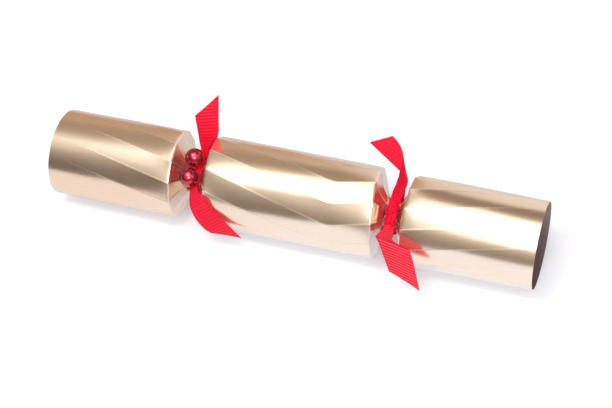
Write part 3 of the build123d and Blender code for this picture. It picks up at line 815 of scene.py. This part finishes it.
def hatObject():
    h = hatShape
    around, columns = int(h["turns"] * 44), 61
    points = []
    for r in range(around + 1):
        t = r / around
        angle = 2 * math.pi * h["turns"] * t
        for c in range(columns):
            v = 2 * c / (columns - 1) - 1
            # the band draws the roll in at its middle, and the loose ends flare and crinkle
            out = h["inner"] + (h["outer"] - h["inner"]) * t - h["waist"] * math.exp(-(v / 0.16) ** 2)
            out += h["wrinkle"] * abs(v) ** 1.5 * math.sin(5 * angle + 9 * v + 3 * math.sin(2.3 * angle))
            end = h["frill"] * abs(v) ** 6 * math.sin(1.7 * angle + 2 * math.sin(3.1 * angle))
            points.append((v * h["length"] / 2 - math.copysign(h["frill"] * abs(v) ** 6, v) + end * 0.5,
                           out * math.sin(angle), h["axis"] - out * math.cos(angle)))
    obj = meshObject("paperHat", points, gridFaces(around + 1, columns), tissue)
    wall = obj.modifiers.new("tissue", "SOLIDIFY")
    wall.thickness, wall.offset = h["tissue"] * mm, 0
    takeEvaluated(obj)
    obj.data.shade_smooth()
    return obj


paperHat = hatObject()
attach(paperHat, "barrel")
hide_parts("paper_hat")
print("hat rolled")


# what stays as the frame has it
finishes = {"berry_wire": wrappedWire, "left_snap_strip": snapCard, "right_snap_strip": snapCard,
            "snap_charge": snapPatch, "snap_abrasive": snapPatch, "snap_sleeve": sleevePaper,
            "left_snap_glue": hotGlue, "right_snap_glue": hotGlue, "hat_band": bandRubber,
            "motto_slip": mottoPaper, "spinning_top": toyPlastic}
for node, material in finishes.items():
    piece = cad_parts[node]
    piece.data.materials.clear()
    piece.data.materials.append(material)
print("inner pieces finished")


# stage: white floor, lamps over the table, a quiet room and the camera
stageLook = {"floorX": (-1200, 1200), "floorY": (-275, 300), "floorZ": -0.2, "floorColour": (0.86, 0.86, 0.86),
             "floorShown": (0.70, 0.72, 0.78), "floorMirrored": (0.42, 0.42, 0.385),
             "glowColour": (0.94, 0.97, 1.04), "glowShown": 0.44, "glowMirrored": (0.54, 0.30),
             "glowDepth": (0.0, 0.06),
             "bounce": ((0.886, 0.832, 0.971), (0.975, 1.105, 1.42), (0.993, 1.168, 1.518)), "bounceX": (-0.12, 0.12),
             "shadowReach": 0.045, "shadowSide": (-0.55, -0.75, 0.37), "shadowRange": (0.5, 0.95), "shadowLeast": 0.35}


def floorMaterial():
    mat, tree, shader = startMaterial("whiteFloor")
    path = addNode(tree, "ShaderNodeLightPath").outputs
    fromCamera = path["Is Camera Ray"]
    mirrored = mathNode(tree, "ADD", path["Is Glossy Ray"], path["Is Transmission Ray"], True)
    shown = mixColour(tree, fromCamera, stageLook["floorColour"], stageLook["floorShown"])
    tree.links.new(mixColour(tree, mirrored, shown, stageLook["floorMirrored"]), shader.inputs["Base Color"])
    # the bounce off the table is warmer towards the left end
    place = splitVector(tree, objectPoint(tree))
    bounce = rampNode(tree, mapRange(tree, place[0], *stageLook["bounceX"]), [
        (0.5 * k, tone) for k, tone in enumerate(stageLook["bounce"])])
    tree.links.new(mixColour(tree, mirrored, stageLook["glowColour"], bounce), shader.inputs["Emission Color"])
    glow = mapRange(tree, place[1], *stageLook["glowDepth"], *stageLook["glowMirrored"], smooth=True)
    # the glow that whitens the table is held back where the object covers it from the left front
    openness = addNode(tree, "ShaderNodeAmbientOcclusion", {"samples": 16}, {
        "Distance": stageLook["shadowReach"],
        "Normal": joinVector(tree, dict(enumerate(stageLook["shadowSide"])))}).outputs["AO"]
    full = stageLook["glowShown"]
    white = mapRange(tree, openness, *stageLook["shadowRange"], stageLook["shadowLeast"] * full, full)
    tree.links.new(mathNode(tree, "ADD", product(tree, fromCamera, white), product(tree, mirrored, glow)),
                   shader.inputs["Emission Strength"])
    setFinish(shader, roughness=1.0, specular=0.0)
    return mat


(x0, x1), (y0, y1), z0 = stageLook["floorX"], stageLook["floorY"], stageLook["floorZ"]
floor = meshObject("floor", [(x0, y0, z0), (x1, y0, z0), (x1, y1, z0), (x0, y1, z0)], [(0, 1, 2, 3)], floorMaterial())

lampLook = {"softBox": {"power": 3.4, "size": (0.96, 0.83), "place": (-0.01, -0.19, 1.03), "turn": -42,
                        "fall": (0.1, 0.6, 0.28)},
            "hotSpot": {"power": 3.0, "size": (0.17, 0.17), "place": (-0.17, -0.38, 1.02), "turn": 0},
            "fill": {"power": 7.0, "size": (0.5, 0.5), "place": (0.32, -0.88, 0.85), "turn": 0}}
for name, look in lampLook.items():
    lamp = bpy.data.lights.new(name, "AREA")
    lamp.shape, lamp.energy = "RECTANGLE", look["power"]
    lamp.size, lamp.size_y = look["size"]
    if "fall" in look:
        # the box is dimmer towards its front edge
        lamp.use_nodes = True
        tree = lamp.node_tree
        across = splitVector(tree, addNode(tree, "ShaderNodeNewGeometry").outputs["Parametric"])[1]
        edge, inner, dim = look["fall"]
        tree.links.new(mapRange(tree, across, edge, inner, dim, 1.0, smooth=True),
                       tree.nodes["Emission"].inputs["Strength"])
    holder = bpy.data.objects.new(name, lamp)
    holder.location = look["place"]
    holder.rotation_euler = (0, 0, math.radians(look["turn"]))
    bpy.context.scene.collection.objects.link(holder)

# each quarter of the room is graded from the table's level, 0.5, to overhead, 1
overhead = (0.90, 0.90, 0.86)
roomLook = {
    "frontLeft": [(0.5, (0.055, 0.032, 0.015)), (0.68, (0.105, 0.075, 0.05)), (0.82, (0.30, 0.245, 0.185)),
                  (0.93, (0.80, 0.77, 0.72)), (1.0, overhead)],
    "frontRight": [(0.5, (0.205, 0.155, 0.108)), (0.55, (0.24, 0.185, 0.13)), (0.63, (0.36, 0.30, 0.245)),
                   (0.72, (0.51, 0.45, 0.385)), (0.80, (0.71, 0.65, 0.585)), (1.0, overhead)],
    "backLeft": [(0.5, (0.50, 0.32, 0.24)), (0.60, (0.47, 0.29, 0.20)), (0.70, (0.55, 0.38, 0.265)),
                 (0.77, (0.40, 0.275, 0.18)), (0.90, (0.31, 0.225, 0.15)), (0.965, (0.40, 0.305, 0.22)),
                 (1.0, overhead)],
    "backRight": [(0.5, (0.92, 0.86, 0.84)), (0.765, (0.90, 0.83, 0.80)), (0.825, (0.17, 0.11, 0.06)),
                  (0.93, (0.17, 0.11, 0.06)), (1.0, (0.34, 0.265, 0.20))],
    "frontAside": (-0.38, -0.12), "backAside": (-0.26, -0.14), "behind": (-0.25, 0.35)}
room = bpy.data.worlds.new("room")
room.use_nodes = True
bpy.context.scene.world = room
tree = room.node_tree
axes = splitVector(tree, addNode(tree, "ShaderNodeTexCoord").outputs["Generated"])
height = mathNode(tree, "ADD", product(tree, axes[2], 0.5), 0.5)
front, back = (mixColour(tree, mapRange(tree, axes[0], *roomLook[side + "Aside"], smooth=True),
                         rampNode(tree, height, roomLook[side + "Left"]),
                         rampNode(tree, height, roomLook[side + "Right"]))
               for side in ("front", "back"))
glow = mixColour(tree, mapRange(tree, axes[1], *roomLook["behind"], smooth=True), front, back)
fromCamera = addNode(tree, "ShaderNodeLightPath").outputs["Is Camera Ray"]
tree.links.new(mixColour(tree, fromCamera, glow, (1, 1, 1)), tree.nodes["Background"].inputs["Color"])

cameraLook = {"sensor": 36, "lens": 91.765, "rows": (
    (0.95002, -0.19052, 0.24734, 0.24274), (0.30642, 0.72080, -0.62174, -0.59321),
    (-0.05983, 0.66645, 0.74314, 0.73141), (0, 0, 0, 1))}
lens = bpy.data.cameras.new("view")
lens.sensor_fit, lens.sensor_width, lens.lens = "HORIZONTAL", cameraLook["sensor"], cameraLook["lens"]
camera = bpy.data.objects.new("view", lens)
camera.matrix_world = Matrix(cameraLook["rows"])
bpy.context.scene.collection.objects.link(camera)
bpy.context.scene.camera = camera
bpy.context.scene.view_settings.view_transform = "Standard"
print("stage set")

bpy.context.view_layer.update()
